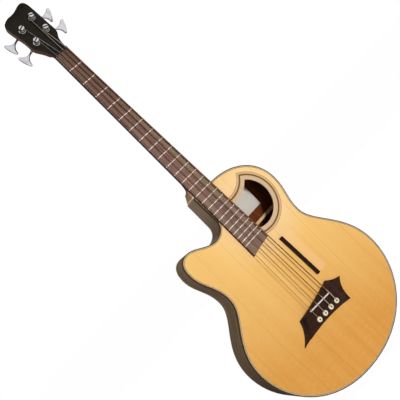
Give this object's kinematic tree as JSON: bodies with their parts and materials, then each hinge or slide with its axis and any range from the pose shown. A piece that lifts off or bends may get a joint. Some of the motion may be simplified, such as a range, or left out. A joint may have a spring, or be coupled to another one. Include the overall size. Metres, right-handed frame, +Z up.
{
  "type": "acoustic bass guitar",
  "caption": "Fretted acoustic bass guitar with a deep cutaway body, a leaf-shaped sound hole, a winged bridge and geared tuners whose keys turn the string posts.",
  "frame": {"origin": "middle of the end pin's outer flat face, at the tail of the body", "axes": "+Z up the neck towards the headstock, the soundboard faces -Y, +X towards the thickest string's side"},
  "size_m": [0.432, 0.1145, 1.1869],
  "materials": {
    "top_spruce": "clear satin lacquer over straight-grained spruce",
    "rosette_wood": "inlaid bands of pale and dark wood under lacquer",
    "binding": "grey-brown edge binding with pale lines",
    "side_wood": "dark brown hardwood, satin lacquer",
    "brace_spruce": "bare sanded spruce",
    "neck_wood": "brown hardwood, satin lacquer",
    "black_lacquered_wood": "black lacquered veneer",
    "black_cover": "black, plain",
    "fingerboard_wood": "dark streaked hardwood, oiled",
    "black_nut": "black, slotted",
    "thumb_rest_wood": "near-black hardwood, satin",
    "bridge_wood": "dark brown hardwood, oiled",
    "saddle_bone": "cream, polished",
    "pin_plastic": "cream with a dark dot",
    "chrome": "polished chrome plate",
    "fret_metal": "nickel silver wire",
    "string_bronze": "round-wound bronze"
  },
  "bodies": {
    "instrument": {"soundboard": "top_spruce", "rosette": "rosette_wood", "top_binding": "binding", "rim": "side_wood", "back_plate": "side_wood", "top_bracing": "brace_spruce", "back_bracing": "brace_spruce", "neck": "neck_wood", "headstock_veneer": "black_lacquered_wood", "truss_rod_cover": "black_cover", "fingerboard": "fingerboard_wood", "nut": "black_nut", "thumb_rest": "thumb_rest_wood", "bridge": "bridge_wood", "saddle": "saddle_bone", "end_pin": "chrome", "fret_01": "fret_metal", "fret_02": "fret_metal", "fret_03": "fret_metal", "fret_04": "fret_metal", "fret_05": "fret_metal", "fret_06": "fret_metal", "fret_07": "fret_metal", "fret_08": "fret_metal", "fret_09": "fret_metal", "fret_10": "fret_metal", "fret_11": "fret_metal", "fret_12": "fret_metal", "fret_13": "fret_metal", "fret_14": "fret_metal", "fret_15": "fret_metal", "fret_16": "fret_metal", "fret_17": "fret_metal", "fret_18": "fret_metal", "fret_19": "fret_metal", "fret_20": "fret_metal", "fret_21": "fret_metal", "fret_22": "fret_metal", "fret_23": "fret_metal", "fret_24": "fret_metal", "string_g": "string_bronze", "bridge_pin_g": "pin_plastic", "tuner_plate_g": "chrome", "string_d": "string_bronze", "bridge_pin_d": "pin_plastic", "tuner_plate_d": "chrome", "string_a": "string_bronze", "bridge_pin_a": "pin_plastic", "tuner_plate_a": "chrome", "string_e": "string_bronze", "bridge_pin_e": "pin_plastic", "tuner_plate_e": "chrome"},
    "key_g": {"tuner_key_g": "chrome"},
    "post_g": {"tuner_post_g": "chrome"},
    "key_d": {"tuner_key_d": "chrome"},
    "post_d": {"tuner_post_d": "chrome"},
    "key_a": {"tuner_key_a": "chrome"},
    "post_a": {"tuner_post_a": "chrome"},
    "key_e": {"tuner_key_e": "chrome"},
    "post_e": {"tuner_post_e": "chrome"}
  },
  "joints": [
    {"name": "key_g_turn", "type": "hinge", "parent": "instrument", "child": "key_g", "pos_m": [-0.02439, -0.01806, 1.08118], "axis": [-0.9304, -0.0794, -0.3578], "continuous": true},
    {"name": "post_g_turn", "type": "hinge", "parent": "instrument", "child": "post_g", "pos_m": [-0.0205, -0.04061, 1.07609], "axis": [0, 0.9762, -0.2167], "continuous": true},
    {"name": "key_d_turn", "type": "hinge", "parent": "instrument", "child": "key_d", "pos_m": [-0.02439, -0.00766, 1.12804], "axis": [-0.9304, -0.0794, -0.3578], "continuous": true},
    {"name": "post_d_turn", "type": "hinge", "parent": "instrument", "child": "post_d", "pos_m": [-0.0205, -0.0302, 1.12295], "axis": [0, 0.9762, -0.2167], "continuous": true},
    {"name": "key_a_turn", "type": "hinge", "parent": "instrument", "child": "key_a", "pos_m": [0.02439, -0.00484, 1.14074], "axis": [0.9304, -0.0794, -0.3578], "continuous": true},
    {"name": "post_a_turn", "type": "hinge", "parent": "instrument", "child": "post_a", "pos_m": [0.0205, -0.02738, 1.13564], "axis": [0, 0.9762, -0.2167], "continuous": true},
    {"name": "key_e_turn", "type": "hinge", "parent": "instrument", "child": "key_e", "pos_m": [0.02439, -0.01525, 1.09387], "axis": [0.9304, -0.0794, -0.3578], "continuous": true},
    {"name": "post_e_turn", "type": "hinge", "parent": "instrument", "child": "post_e", "pos_m": [0.0205, -0.03779, 1.08878], "axis": [0, 0.9762, -0.2167], "continuous": true}
  ],
  "couplings": [
    {"joint": "post_g_turn", "follows": "key_g_turn", "ratio": -0.05},
    {"joint": "post_d_turn", "follows": "key_d_turn", "ratio": -0.05},
    {"joint": "post_a_turn", "follows": "key_a_turn", "ratio": -0.05},
    {"joint": "post_e_turn", "follows": "key_e_turn", "ratio": -0.05}
  ]
}
